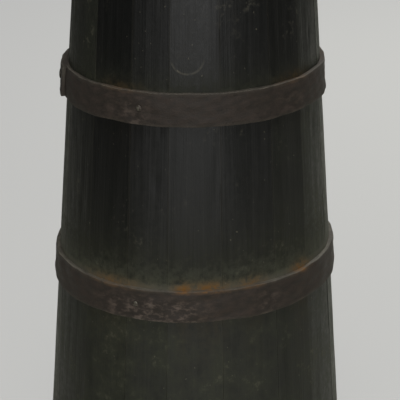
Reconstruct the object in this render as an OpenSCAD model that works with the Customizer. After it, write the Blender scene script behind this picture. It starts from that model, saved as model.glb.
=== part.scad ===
// Dasher butter churn: a coopered, tapered vessel with iron hoops, a lid, a splash cup and a dasher.
// Millimetres, +Z up. The origin is on the floor under the middle of the vessel, and the front faces -Y.
// Angles around the vessel are in degrees from the front, positive towards +X.

/* [Vessel] */
// Outer diameter of the staves at the foot
foot_d = 302; // [290:1:320]
// Outer diameter of the staves at the mouth
mouth_d = 202; // [196:1:212]
// Height of the staves
stave_h = 625; // [610:1:660]
// Thickness of a stave, measured level
stave_t = 14; // [12:0.5:16]
// Gap at each stave joint, in degrees about the axis
joint_gap = 0.1; // [0.05:0.05:0.3]

/* [Bottom] */
// Height of the bottom's underside above the floor
bottom_z = 30; // [24:1:40]
// Thickness of the bottom boards
bottom_t = 20; // [16:1:24]
// Thickness of the bottom's edge where it enters the groove
tongue_t = 8; // [6:0.5:10]
// Depth of the groove in the staves
croze_depth = 5; // [3:0.5:6]
// Width of the middle board
middle_board_w = 92; // [70:1:120]

/* [Hoops] */
// Width of a hoop
hoop_w = 28.5; // [24:0.5:34]
// Thickness of the hoop iron
hoop_t = 3.2; // [2.5:0.1:4]
// Height of the base hoop's upper edge
base_hoop_z = 58; // [50:1:90]
// Height of the lower hoop's upper edge
lower_hoop_z = 262; // [220:1:300]
// Height of the upper hoop's upper edge
upper_hoop_z = 440; // [400:1:480]
// Height of the top hoop's upper edge
top_hoop_z = 604; // [540:1:606]
// Slope of the lower hoop, rising towards +X
lower_hoop_tilt = 1.7; // [0:0.1:2]
// Slope of the upper hoop, rising towards +X
upper_hoop_tilt = 1.05; // [0:0.05:2]
// Length of the riveted lap
lap_len = 60; // [50:1:80]

/* [Lid] */
// Diameter of the lid's upper board
lid_d = 212; // [206:1:220]
// Thickness of the lid's upper board
lid_t = 18; // [14:1:22]
// Thickness of the plug under it
plug_t = 15; // [12:1:20]
// Play of the plug in the mouth, all round
plug_play = 1.5; // [1:0.1:3]
// Diameter of the hole for the staff
lid_hole_d = 31; // [29:0.5:34]

/* [Dasher] */
// Diameter of the staff
staff_d = 26; // [24:0.5:27]
// Diameter of the hand-worn upper stretch of the staff
grip_d = 24; // [20:0.5:24]
// Length of the staff's upper stretch
grip_len = 250; // [180:5:300]
// Length of the whole dasher
dasher_len = 935; // [900:5:1000]
// Span of the cross
cross_span = 152; // [130:1:156]
// Width of a slat of the cross
slat_w = 46; // [36:1:54]
// Thickness of the cross
slat_t = 24; // [20:1:30]
// Diameter of the staff's tenon in the cross
tenon_d = 19; // [16:0.5:20]

/* [Hidden] */
$fn = 96;

// Widths of the staves in degrees, counted from the first joint towards +X. They add up to a full turn.
STAVE_WIDTHS = [22.5, 20.5, 17, 21.5, 23, 18, 19, 25, 23, 27, 22, 26, 24, 21.5, 26, 24];
first_joint = -70.5;
stave_count = len(STAVE_WIDTHS);

// Each hoop: name, height of its upper edge, slope, and the angle where its riveted lap starts.
HOOPS = [
    ["base_hoop", base_hoop_z, 0, 125],
    ["lower_hoop", lower_hoop_z, lower_hoop_tilt, 170],
    ["upper_hoop", upper_hoop_z, upper_hoop_tilt, -106],
    ["top_hoop", top_hoop_z, 0, 40]
];

BOARDS = ["front", "middle", "back"];

function stave_name(i) = str("stave_", i < 9 ? "0" : "", i + 1);

paint = "#262620";
iron = "#3d352d";
bare_wood = "#8a7352";
worn_wood = "#6d5a41";

// Fits
close_fit = 0.05;
hoop_fit = 0.08;
groove_fit = 0.15;
board_gap = 0.1;
rest_gap = 0.3;

// Vessel
taper = (foot_d - mouth_d) / 2 / stave_h;
wall_lean = atan(taper);
foot_ease = 1.5;
rim_ease = 2;
rim_bevel = 3;
rim_bevel_h = 6;
chime_bevel = 3;
chime_bevel_h = 16;

function outer_r(z) = foot_d / 2 - taper * z;
function inner_r(z) = outer_r(z) - stave_t;
function stave_start(i) = i == 0 ? first_joint : stave_start(i - 1) + STAVE_WIDTHS[i - 1];

// Bottom
croze_z0 = bottom_z + (bottom_t - tongue_t) / 2 - groove_fit;
croze_z1 = croze_z0 + tongue_t + 2 * groove_fit;
croze_r = inner_r((croze_z0 + croze_z1) / 2) + croze_depth;
bottom_bevel = 18;
shoulder_gap = 0.5;
dowel_r = 4;
dowel_len = 36;
dowel_room = 1;
dowel_x = 55;

// Hoops
climb_angle = 5;
climb_lead = 0.5;
rivet_r = 3;
rivet_head_r = 5;
rivet_head_h = 1.2;
nail_r = 1.6;
nail_head_r = 2.8;
nail_head_h = 1.1;
nail_len = 10.5;
nail_point = 3;
nail_angles = [-23, 157];
rivet_places = [0.2, 0.6];
slab_size = 2 * foot_d;

function hoop_mid(h) = h[1] - hoop_w / 2;
function hoop_mid_at(h, angle) = hoop_mid(h) + outer_r(hoop_mid(h)) * sin(angle) * tan(h[2]);
function lap_angle(h) = lap_len / outer_r(hoop_mid(h)) * 180 / PI;

// Lid
lid_z = stave_h + rest_gap;
lid_round = 5;
lid_ease = 2;
plug_r = inner_r(stave_h) - plug_play;
plug_ease = 2;
recess_depth = 5;
lid_nail_count = 6;
lid_nail_ring = 62;
lid_nail_len = 26;

// Splash cup
cup_spigot_r = 27;
cup_spigot_fit = 0.4;
cup_h = 48;
cup_foot_r = 30;
cup_rim_r = 37;
cup_wall = 5;
cup_floor = 12;
cup_foot_wall = 7;
cup_play = 0.6;
cup_bore_r = staff_d / 2 + cup_play;
cup_steps = 10;

// Dasher
dasher_clear = 1.5;
dasher_z = bottom_z + bottom_t + dasher_clear;
shoulder_z = dasher_z + slat_t;
dasher_top = dasher_z + dasher_len;
grip_cone = 12;
peg_r = 3;
peg_inset = 0.5;
slat_ease = 3;

// Points on an arc, from angle a0 to a1 about [x, z]
function arc(x, z, r, a0, a1, steps = 6) =
    [for (i = [0 : steps]) let (a = a0 + (a1 - a0) * i / steps) [x + r * cos(a), z + r * sin(a)]];

// Revolves a profile of [radius, height] through part of a turn, from an angle counted from the front
module revolve_from(angle, sweep) {
    rotate([0, 0, angle - 90])
        rotate_extrude(angle = sweep)
            children();
}

// Places children on the outside of the wall, with their +Z pointing straight out of it
module on_wall(angle, z) {
    rotate([0, 0, angle])
        translate([0, -outer_r(z), z])
            rotate([90 - wall_lean, 0, 0])
                children();
}

// A low round head, flat underneath
module head(r, h) {
    ball_r = (r * r + h * h) / (2 * h);
    intersection() {
        translate([0, 0, h - ball_r])
            sphere(r = ball_r);
        cylinder(r = r, h = h);
    }
}

module stave_profile() {
    polygon([
        [outer_r(0) - foot_ease, 0],
        [outer_r(foot_ease), foot_ease],
        [outer_r(stave_h - rim_ease), stave_h - rim_ease],
        [outer_r(stave_h) - rim_ease, stave_h],
        [inner_r(stave_h) + rim_bevel, stave_h],
        [inner_r(stave_h - rim_bevel_h), stave_h - rim_bevel_h],
        [inner_r(croze_z1), croze_z1],
        [croze_r, croze_z1],
        [croze_r, croze_z0],
        [inner_r(croze_z0), croze_z0],
        [inner_r(chime_bevel_h), chime_bevel_h],
        [inner_r(0) + chime_bevel, 0]
    ]);
}

module stave(i) {
    from = stave_start(i);
    to = from + STAVE_WIDTHS[i];
    color(paint)
        difference() {
            revolve_from(from + joint_gap / 2, to - from - joint_gap)
                stave_profile();
            for (h = HOOPS, angle = nail_angles)
                if (from < angle && angle < to)
                    on_wall(angle, hoop_mid_at(h, angle))
                        translate([0, 0, hoop_t - nail_len])
                            cylinder(r = nail_r + close_fit, h = nail_len);
        }
}

module bottom_disc() {
    edge_r = inner_r(croze_z0) - shoulder_gap;
    z1 = bottom_z + bottom_t;
    rotate_extrude()
        polygon([
            [0, bottom_z],
            [edge_r - bottom_bevel, bottom_z],
            [edge_r, croze_z0 + groove_fit],
            [croze_r - groove_fit, croze_z0 + groove_fit],
            [croze_r - groove_fit, croze_z1 - groove_fit],
            [edge_r, croze_z1 - groove_fit],
            [edge_r - bottom_bevel, z1],
            [0, z1]
        ]);
}

module dowels(r, len) {
    for (x = [-dowel_x, dowel_x], y = [-1, 1] * middle_board_w / 2)
        translate([x, y - len / 2, bottom_z + bottom_t / 2])
            rotate([-90, 0, 0])
                cylinder(r = r, h = len);
}

module bottom_board(i) {
    edges = [-foot_d, -middle_board_w / 2, middle_board_w / 2, foot_d];
    y0 = edges[i] + board_gap / 2;
    y1 = edges[i + 1] - board_gap / 2;
    color(worn_wood)
        difference() {
            intersection() {
                bottom_disc();
                translate([-foot_d, y0, 0])
                    cube([2 * foot_d, y1 - y0, 2 * bottom_z + bottom_t]);
            }
            dowels(dowel_r + close_fit, dowel_len + dowel_room);
        }
}

module bottom_dowels() {
    color(bare_wood)
        dowels(dowel_r, dowel_len);
}

// Hoop iron lying along the wall over part of a turn, taller than the finished hoop
module hoop_layer(h, step, thickness, angle, sweep) {
    z0 = h[1] - 1.5 * hoop_w;
    z1 = h[1] + 0.5 * hoop_w;
    r0 = outer_r(z0) + step;
    r1 = outer_r(z1) + step;
    revolve_from(angle, sweep)
        polygon([[r0, z0], [r0 + thickness, z0], [r1 + thickness, z1], [r1, z1]]);
}

// The space above the slope where the upper end of the hoop climbs over the lower one
module climb(h) {
    run = climb_angle * PI / 180 * outer_r(hoop_mid(h));
    middle = h[3] - climb_angle / 2;
    on_wall(middle, hoop_mid_at(h, middle))
        translate([-run / 2 - climb_lead, -hoop_w, hoop_fit + hoop_t])
            rotate([0, -atan2(hoop_t, run), 0])
                cube([2 * run, 2 * hoop_w, 2 * hoop_t]);
}

module hoop(h) {
    color(iron)
        difference() {
            intersection() {
                union() {
                    hoop_layer(h, hoop_fit, hoop_t, 0, 360);
                    difference() {
                        hoop_layer(h, hoop_fit + hoop_t / 2, 1.5 * hoop_t, h[3] - climb_angle,
                            climb_angle + lap_angle(h));
                        climb(h);
                    }
                }
                translate([0, 0, h[1]])
                    rotate([0, -h[2], 0])
                        translate([-slab_size / 2, -slab_size / 2, -hoop_w])
                            cube([slab_size, slab_size, hoop_w]);
            }
            rivets(h, rivet_r + close_fit, 3 * hoop_t);
            for (angle = nail_angles)
                on_wall(angle, hoop_mid_at(h, angle))
                    translate([0, 0, -hoop_t])
                        cylinder(r = nail_r + close_fit, h = 3 * hoop_t);
        }
}

// Straight pins through both layers of a hoop's lap
module rivets(h, r, len) {
    for (place = rivet_places) {
        angle = h[3] + place * lap_angle(h);
        on_wall(angle, hoop_mid_at(h, angle))
            translate([0, 0, hoop_fit])
                cylinder(r = r, h = len);
    }
}

module hoop_rivets() {
    lap_t = 2 * hoop_t + 2 * hoop_fit;
    color(iron)
        for (h = HOOPS) {
            rivets(h, rivet_r, lap_t);
            for (place = rivet_places) {
                angle = h[3] + place * lap_angle(h);
                on_wall(angle, hoop_mid_at(h, angle))
                    translate([0, 0, lap_t])
                        head(rivet_head_r, rivet_head_h);
            }
        }
}

// A nail that points to -Z, with the underside of its head at the origin
module nail(len) {
    head(nail_head_r, nail_head_h);
    translate([0, 0, nail_point - len])
        cylinder(r = nail_r, h = len - nail_point);
    translate([0, 0, -len])
        cylinder(r1 = nail_r / 4, r2 = nail_r, h = nail_point);
}

module hoop_nails() {
    color(iron)
        for (h = HOOPS, angle = nail_angles)
            on_wall(angle, hoop_mid_at(h, angle))
                translate([0, 0, hoop_t + hoop_fit])
                    nail(nail_len);
}

module lid_nail_places() {
    for (i = [0 : lid_nail_count - 1])
        rotate([0, 0, (i + 0.5) * 360 / lid_nail_count])
            translate([lid_nail_ring, 0, lid_z + lid_t])
                children();
}

module lid_nail_holes() {
    lid_nail_places()
        translate([0, 0, -lid_nail_len])
            cylinder(r = nail_r + close_fit, h = 2 * lid_nail_len);
}

module lid_top() {
    z1 = lid_z + lid_t;
    r = lid_d / 2;
    color(paint)
        difference() {
            rotate_extrude()
                polygon(concat(
                    [[lid_hole_d / 2, lid_z], [r - lid_ease, lid_z]],
                    [[r, lid_z + lid_ease]],
                    arc(r - lid_round, z1 - lid_round, lid_round, 0, 90),
                    [[cup_spigot_r + cup_spigot_fit, z1]],
                    [[cup_spigot_r + cup_spigot_fit, z1 - recess_depth]],
                    [[lid_hole_d / 2, z1 - recess_depth]]
                ));
            lid_nail_holes();
        }
}

module lid_plug() {
    z1 = lid_z - board_gap;
    z0 = z1 - plug_t;
    color(worn_wood)
        difference() {
            rotate_extrude()
                polygon([
                    [lid_hole_d / 2, z0],
                    [plug_r - plug_ease, z0],
                    [plug_r, z0 + plug_ease],
                    [plug_r, z1],
                    [lid_hole_d / 2, z1]
                ]);
            lid_nail_holes();
        }
}

module lid_nails() {
    color(iron)
        lid_nail_places()
            nail(lid_nail_len);
}

// The cup swells from its foot to its rim along half a cosine wave
module splash_cup() {
    z0 = lid_z + lid_t + rest_gap;
    side = [for (i = [0 : cup_steps]) let (t = i / cup_steps) [
        cup_foot_r + (cup_rim_r - cup_foot_r) * (1 - cos(180 * t)) / 2,
        z0 + cup_h * t
    ]];
    hollow = [for (i = [cup_steps : -1 : 0]) let (t = i / cup_steps) [
        side[i][0] - cup_wall * t - cup_foot_wall * (1 - t),
        z0 + cup_floor + (cup_h - cup_floor) * t
    ]];
    color(bare_wood)
        rotate_extrude()
            polygon(concat(
                [[cup_bore_r, z0 - recess_depth], [cup_spigot_r, z0 - recess_depth], [cup_spigot_r, z0]],
                side,
                hollow,
                [[cup_bore_r, z0 + cup_floor]]
            ));
}

module dasher_staff() {
    grip_r = grip_d / 2;
    grip_z = dasher_top - grip_len;
    color(bare_wood)
        difference() {
            rotate_extrude()
                polygon(concat(
                    [[0, dasher_z], [tenon_d / 2, dasher_z], [tenon_d / 2, shoulder_z]],
                    [[staff_d / 2, shoulder_z], [staff_d / 2, grip_z - grip_cone], [grip_r, grip_z]],
                    arc(0, dasher_top - grip_r, grip_r, 0, 90)
                ));
            peg_at(peg_r + close_fit, 2 * slat_w);
        }
}

// The locking peg's place: level, across the lower slat
module peg_at(r, len) {
    translate([0, -len / 2, dasher_z + slat_t / 4])
        rotate([-90, 0, 0])
            cylinder(r = r, h = len);
}

// One slat of the cross along X, with round ends, eased edges and half its thickness cut away in the middle
module slat(notch_z) {
    difference() {
        intersection() {
            translate([0, 0, dasher_z])
                cylinder(d = cross_span, h = slat_t);
            translate([-cross_span, 0, dasher_z])
                rotate([90, 0, 90])
                    linear_extrude(2 * cross_span)
                        polygon([
                            [-slat_w / 2, slat_ease], [slat_ease - slat_w / 2, 0],
                            [slat_w / 2 - slat_ease, 0], [slat_w / 2, slat_ease],
                            [slat_w / 2, slat_t - slat_ease], [slat_w / 2 - slat_ease, slat_t],
                            [slat_ease - slat_w / 2, slat_t], [-slat_w / 2, slat_t - slat_ease]
                        ]);
        }
        translate([-slat_w / 2 - board_gap, -slat_w, notch_z - board_gap / 2])
            cube([slat_w + 2 * board_gap, 2 * slat_w, slat_t / 2 + board_gap]);
        translate([0, 0, dasher_z - slat_t])
            cylinder(d = tenon_d + 2 * close_fit, h = 3 * slat_t);
    }
}

module dasher_blade_lower() {
    color(worn_wood)
        difference() {
            slat(dasher_z + slat_t / 2);
            peg_at(peg_r + close_fit, 2 * slat_w);
        }
}

module dasher_blade_upper() {
    color(worn_wood)
        rotate([0, 0, 90])
            slat(dasher_z);
}

module dasher_peg() {
    color(bare_wood)
        peg_at(peg_r, slat_w - 2 * peg_inset);
}

for (i = [0 : stave_count - 1])
    stave(i);
for (i = [0 : len(BOARDS) - 1])
    bottom_board(i);
bottom_dowels();
for (h = HOOPS)
    hoop(h);
hoop_rivets();
hoop_nails();
lid_top();
lid_plug();
lid_nails();
splash_cup();
dasher_staff();
dasher_blade_lower();
dasher_blade_upper();
dasher_peg();
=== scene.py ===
"""Looks of a dasher butter churn: painted staves, iron hoops, lid, splash cup and dasher.

Metres, +Z up, the front towards -Y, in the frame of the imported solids. Angles round the churn are counted
from the front and grow towards +X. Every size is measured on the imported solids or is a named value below.
"""

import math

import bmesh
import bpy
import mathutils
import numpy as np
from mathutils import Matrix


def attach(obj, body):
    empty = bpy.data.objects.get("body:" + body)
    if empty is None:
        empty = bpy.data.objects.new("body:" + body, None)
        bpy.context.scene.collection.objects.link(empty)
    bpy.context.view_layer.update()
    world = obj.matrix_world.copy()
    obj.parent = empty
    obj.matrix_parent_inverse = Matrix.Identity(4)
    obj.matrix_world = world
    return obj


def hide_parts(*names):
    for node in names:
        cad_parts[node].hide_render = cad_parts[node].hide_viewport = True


bl_info = {
    "name": "Dasher Butter Churn",
    "version": (1, 0, 0),
    "blender": (4, 5, 0),
    "location": "View3D > Sidebar > Churn",
    "description": "Builds the visible pieces of a coopered butter churn on its packed solids",
    "category": "Object",
}

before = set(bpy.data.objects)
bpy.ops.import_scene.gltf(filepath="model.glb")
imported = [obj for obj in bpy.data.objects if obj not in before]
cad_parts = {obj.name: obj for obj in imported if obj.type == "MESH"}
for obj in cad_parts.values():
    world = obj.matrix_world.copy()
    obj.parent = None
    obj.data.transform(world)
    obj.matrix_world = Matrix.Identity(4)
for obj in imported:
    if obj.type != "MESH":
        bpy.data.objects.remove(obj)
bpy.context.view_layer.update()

MM = 0.001
TURN = 2 * math.pi
# Edges that turn by more than this stay sharp
SHARP = math.radians(50)
# Every piece draws from a seed of its own, counted up from this one
SEED = 1871

STAVES = sorted(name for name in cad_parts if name.startswith("stave_"))
HOOPS = sorted(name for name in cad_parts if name.endswith("_hoop"))

# Share of dry paint with dust on each stave, partly a painted reflection and sheen that makes some staves
# paler, from the first joint at the front left round towards +X: above the upper hoop, between the two hoops
# in the middle, and below the lower hoop
DUST_AND_SHEEN_ABOVE = [0.6, 0, 0, 0, 0, 0, 0.15, 0.8, 0.5, 0.45, 0.2, 0.5, 0.35, 0.25, 0.45, 0.8]
DUST_AND_SHEEN_BETWEEN = [0.1, 0, 0, 0, 0, 0.3, 0.8, 0.8, 0.3, 0.45, 0.2, 0.5, 0.35, 0.25, 0.45, 0.8]
DUST_AND_SHEEN_BELOW = [0.75, 1.25, 1.2, 1.12, 0.95, 0.75, 0.85, 1, 1.1, 0.9, 1.2, 1, 0.85, 1.1, 1, 0.9]

# Share of its gloss that the paint of each stave has kept, in the same order
STAVE_GLOSS = [0.72, 0.7, 0.87, 1, 1, 0.85, 1, 1, 1, 0.8, 1, 0.9, 1, 0.8, 1, 0.9]

# Share of grey bloom on the paint round the wall, heaviest on the front staves, where it is partly a painted
# sheen: angle and share, joined by straight lines
BLOOM_AND_SHEEN = [(-100, 0), (-48, 0), (-28, 0.1), (-20, 0.75), (-14, 0.7), (-8, 0.45), (11, 0.4), (18, 0.55),
         (25, 0.4), (34, 0.4), (38, 0.2), (46, 0.35), (54, 0.15), (75, 0), (120, 0.3), (150, 0.35),
         (180, 0.1), (220, 0.3)]

# Heights between which the bloom and its painted sheen thin out
BLOOM_AND_SHEEN_FADE = (0.3, 0.6)

# How far the grain pattern moves on sideways from one stave to the next
GRAIN_STEP = 0.37

# Share of dust that lies on the wall above each hoop and on its upper edge; it also sets how pale the corner
# above a hoop is painted, as painted light, and how bright the painted highlight on the upper edge is
HOOP_DUST_AND_LIGHT = {"base_hoop": 0.8, "lower_hoop": 1.0, "upper_hoop": 0.42, "top_hoop": 0.3}

# Middle and radius of a ring mark in the paint on the front
RING_MARK = (-0.0056, 0, 0.47)
RING_R = 14 * MM

# Rusted stretches of each hoop: angle of the middle, half width and strength
RUST_PATCHES = {
    "base_hoop": [(-60, 18, 0.5), (30, 10, 0.6), (140, 22, 0.6), (-150, 12, 0.7)],
    "lower_hoop": [(-34, 12, 0.55), (-4, 4, 1.0), (6, 7, 1.0), (23, 6, 0.6), (48, 5, 1.0), (120, 15, 0.7),
                   (-130, 10, 0.8)],
    "upper_hoop": [(-33, 9, 0.35), (48, 10, 0.4), (100, 12, 0.6), (-160, 14, 0.6)],
    "top_hoop": [(-15, 12, 0.4), (75, 9, 0.6), (170, 15, 0.5)],
}

# Stretches of each hoop with a dry, flaking crust, in the same form
CRUST_PATCHES = {
    "base_hoop": [(30, 12, 0.7), (-60, 18, 0.6), (-150, 16, 0.8)],
    "lower_hoop": [(-20, 14, 1.3), (-6, 9, 1.2), (30, 5, 0.5), (105, 20, 0.7), (-130, 12, 0.9)],
    "upper_hoop": [(-26, 7, 0.6), (48, 8, 0.3), (100, 14, 0.6), (-160, 14, 0.7)],
    "top_hoop": [(75, 12, 0.7), (170, 15, 0.6)],
}


def linear(code):
    """sRGB hex to linear RGB: c / 12.92 up to 0.04045, and ((c + 0.055) / 1.055) to the power 2.4 above."""
    c = np.array([int(code[i:i + 2], 16) for i in (1, 3, 5)]) / 255
    return np.where(c <= 0.04045, c / 12.92, ((c + 0.055) / 1.055) ** 2.4).tolist()


def node_points(*nodes):
    """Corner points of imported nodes, one row of x, y, z each."""
    found = []
    for node in nodes:
        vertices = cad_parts[node].data.vertices
        flat = np.empty(3 * len(vertices), np.float32)
        vertices.foreach_get("co", flat)
        found.append(flat.reshape(-1, 3).astype(float))
    return np.vstack(found)


def polar(points):
    """Angle from the front and distance from the axis of each point."""
    return np.arctan2(points[:, 0], -points[:, 1]), np.hypot(points[:, 0], points[:, 1])


def profile(*nodes):
    """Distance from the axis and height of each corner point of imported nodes."""
    points = node_points(*nodes)
    return polar(points)[1], points[:, 2]


def around(angle, radius, height):
    """Points at an angle from the front, a distance from the axis and a height."""
    return np.stack(np.broadcast_arrays(radius * np.sin(angle), -radius * np.cos(angle), height), -1)


def wrap(angle):
    """The same angle between minus and plus half a turn."""
    return (angle + math.pi) % TURN - math.pi


def span(angle):
    """Middle and half width of a stretch of angles that is under half a turn wide."""
    rough = math.atan2(np.sin(angle).mean(), np.cos(angle).mean())
    offset = wrap(angle - rough)
    return rough + (offset.min() + offset.max()) / 2, (offset.max() - offset.min()) / 2


def measure_wall():
    """Outer radius at the floor, taper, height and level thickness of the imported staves.

    The taper is the line through the widest point of all, at the foot, and the widest one near the rim. The
    thickness is found at the lower end of the bevel inside the mouth.
    """
    reach, z = profile(*STAVES)
    height = z.max()
    low = np.argmax(reach)
    near_rim = np.flatnonzero(z > 0.99 * height)
    high = near_rim[np.argmax(reach[near_rim])]
    taper = (reach[low] - reach[high]) / (z[high] - z[low])
    foot = reach[low] + taper * z[low]
    bevel = (z > 0.97 * height) & (z < 0.995 * height)
    thickness = (foot - taper * z - reach)[bevel].max()
    return foot, taper, height, thickness


FOOT_R, TAPER, STAVE_H, STAVE_T = measure_wall()


def wall(z):
    """Outer radius of the straight, tapered wall at a height."""
    return FOOT_R - TAPER * z


def measure_hoop(node):
    """Lower and upper edge on the axis, slope towards +X, thickness, and start and width of the lap."""
    points = node_points(node)
    angle, reach = polar(points)
    x, z = points[:, 0], points[:, 2]
    right, left = x > 0.9 * x.max(), x < 0.9 * x.min()
    slope = (z[right].max() - z[left].max()) / (x[right].max() - x[left].min())
    level = z - slope * x
    offset = reach - wall(z)
    thickness = offset.max() / 2
    middle, half = span(angle[offset > 1.7 * thickness])
    return level.min(), level.max(), slope, thickness, middle - half, 2 * half


def strength(patches, angle):
    """Strength of rust or crust at an angle: the largest of the patches, each a bell curve over the angle."""
    middle, half, most = np.array(patches).T
    place = wrap(angle[..., None] - np.radians(middle)) / np.radians(half)
    return (most * np.exp(-place ** 2)).max(-1)


def ripple(u, v, rng, count, across, along):
    """Slow waves about zero: a sum of sine waves in random directions, of a typical length each way."""
    turns = rng.normal(0, 1, (2, count)) / np.array([[across], [along]])
    phase = rng.uniform(0, TURN, count)
    waves = np.sin(TURN * (u[..., None] * turns[0] + v[..., None] * turns[1]) + phase)
    return waves.sum(-1) / math.sqrt(count)


def dents(u, v, rng, count, width, height, depth):
    """Bruises: a sum of bell curves at random places, longer along v than across."""
    u0 = rng.uniform(u.min(), u.max(), count)
    v0 = rng.uniform(v.min(), v.max(), count)
    size = rng.uniform(0.4, 1, count)
    deep = rng.uniform(0.2, 1, count) * depth
    across, along = (u[..., None] - u0) / (width * size), (v[..., None] - v0) / (height * size)
    return (deep * np.exp(-across ** 2 - along ** 2)).sum(-1)


def round_off(distance, radius):
    """How far a rounded edge falls back: a quarter circle over the first radius from the edge."""
    inside = radius - np.clip(distance, 0, radius)
    return radius - np.sqrt(np.maximum(radius ** 2 - inside ** 2, 0))


def smooth(t):
    """Smooth step: 3t^2 - 2t^3 between 0 and 1."""
    t = np.clip(t, 0, 1)
    return t * t * (3 - 2 * t)


def soften(corners, radius, steps=4):
    """A closed outline with each corner replaced by a parabola that leaves both sides at a distance radius.

    The distance is held under half of the shorter side, and a parabola is (1-t)^2 a + 2t(1-t) corner + t^2 b.
    """
    corners = np.asarray(corners, float)
    to_last, to_next = np.roll(corners, 1, 0) - corners, np.roll(corners, -1, 0) - corners
    last, following = np.linalg.norm(to_last, axis=1), np.linalg.norm(to_next, axis=1)
    reach = np.minimum(np.broadcast_to(radius, len(corners)), 0.48 * np.minimum(last, following))
    a = corners + to_last * (reach / last)[:, None]
    b = corners + to_next * (reach / following)[:, None]
    t = np.linspace(0, 1, steps + 1)[None, :, None]
    curve = (1 - t) ** 2 * a[:, None] + 2 * t * (1 - t) * corners[:, None] + t ** 2 * b[:, None]
    return curve.reshape(-1, 2)


def grid_faces(rows, columns, closed_rows=False):
    """Quads between neighbours of a grid of closed rows whose points are numbered row by row."""
    r = np.arange(rows if closed_rows else rows - 1)[:, None]
    c = np.arange(columns)[None, :]
    above, beside = (r + 1) % rows * columns, (c + 1) % columns
    r = r * columns
    return np.stack(np.broadcast_arrays(r + c, r + beside, above + beside, above + c), -1).reshape(-1, 4)


def tube_faces(rows, columns):
    """Quads between the rows of a tube, and one flat face over either end."""
    ring = np.arange(columns)
    return [*grid_faces(rows, columns), ring, ring + (rows - 1) * columns]


def make_piece(name, points, faces, body, node, finishes, uv=None, marks=None, face_finish=None):
    """A closed mesh object on a body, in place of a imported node, with its own UV map and point marks."""
    mesh = bpy.data.meshes.new(name)
    mesh.from_pydata(points.reshape(-1, 3).tolist(), [], [list(map(int, face)) for face in faces])
    if face_finish is not None:
        mesh.polygons.foreach_set("material_index", np.asarray(face_finish, np.int32))
    for label, values in (marks or {}).items():
        layer = mesh.attributes.new(label, "FLOAT", "POINT")
        layer.data.foreach_set("value", values.ravel().astype(np.float32))
    work = bmesh.new()
    work.from_mesh(mesh)
    bmesh.ops.recalc_face_normals(work, faces=work.faces)
    work.to_mesh(mesh)
    work.free()
    if uv is not None:
        corner = np.empty(len(mesh.loops), np.int32)
        mesh.loops.foreach_get("vertex_index", corner)
        layer = mesh.uv_layers.new(name="grain")
        layer.data.foreach_set("uv", uv.reshape(-1, 2)[corner].ravel().astype(np.float32))
    mesh.shade_smooth()
    mesh.set_sharp_from_angle(angle=SHARP)
    for finish in finishes:
        mesh.materials.append(finish)
    piece = bpy.data.objects.new(name, mesh)
    bpy.context.scene.collection.objects.link(piece)
    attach(piece, body)
    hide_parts(node)


def dress(node, finish):
    """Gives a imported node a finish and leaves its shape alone."""
    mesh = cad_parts[node].data
    mesh.materials.clear()
    mesh.materials.append(finish)


def add(tree, kind, links=None, out=None, **settings):
    """Adds a shader node and returns an output: its first one in use, or the one named.

    Settings go on the node. A link is a socket to join to an input, or a constant or colour to put there.
    """
    node = tree.nodes.new("ShaderNode" + kind)
    for key, value in settings.items():
        setattr(node, key, value)
    for key, value in (links or {}).items():
        if isinstance(value, bpy.types.NodeSocket):
            tree.links.new(value, node.inputs[key])
        else:
            node.inputs[key].default_value = (*value, 1) if isinstance(value, mathutils.Color) else value
    return node.outputs[out] if out else next((socket for socket in node.outputs if socket.enabled), None)


def new_finish(name):
    """An empty node material."""
    material = bpy.data.materials.new(name)
    material.use_nodes = True
    material.node_tree.nodes.clear()
    return material, material.node_tree


def surface(tree, links):
    """Joins a principled surface to the output of a material."""
    add(tree, "OutputMaterial", {"Surface": add(tree, "BsdfPrincipled", links)})


def point_marks(tree, *names):
    """The values that the points of a piece carry under some names."""
    return [add(tree, "Attribute", attribute_name=name, out="Fac") for name in names]


def noise(place, size, detail, rough=0.5, twist=0):
    """Noise with lumps of a size in millimetres: one number, or one along each axis."""
    tree, scale = place.id_data, 1
    if np.isscalar(size):
        scale = 1 / (size * MM)
    else:
        place = add(tree, "Mapping", {"Vector": place, "Scale": [1 / (length * MM) for length in size]})
    return add(tree, "TexNoise", {
        "Vector": place, "Scale": scale, "Detail": detail, "Roughness": rough, "Distortion": twist})


def ramp(value, start, end, low=0, high=1, easing="LINEAR"):
    """Goes from low to high while a value goes from start to end, and stays level beyond."""
    return add(value.id_data, "MapRange", {
        "Value": value, "From Min": start, "From Max": end, "To Min": low, "To Max": high},
        interpolation_type=easing)


def times(product, *factors, clamp=False):
    """The product of values, on request held between 0 and 1."""
    for factor in factors:
        product = add(product.id_data, "Math", {0: product, 1: factor}, operation="MULTIPLY")
    product.node.use_clamp = clamp
    return product


def plus(value, share, more):
    """A value with a share of another one added to it."""
    return add(value.id_data, "Math", {0: more, 1: share, 2: value}, operation="MULTIPLY_ADD")


def lay(share, under, over):
    """A share of one colour laid over another."""
    return add(share.id_data, "Mix", {0: share, 6: under, 7: over}, data_type="RGBA")


def relief(height, strength, depth):
    """Bumps of a depth in millimetres that follow a pattern."""
    return add(height.id_data, "Bump", {"Height": height, "Strength": strength, "Distance": depth * MM})


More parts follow.
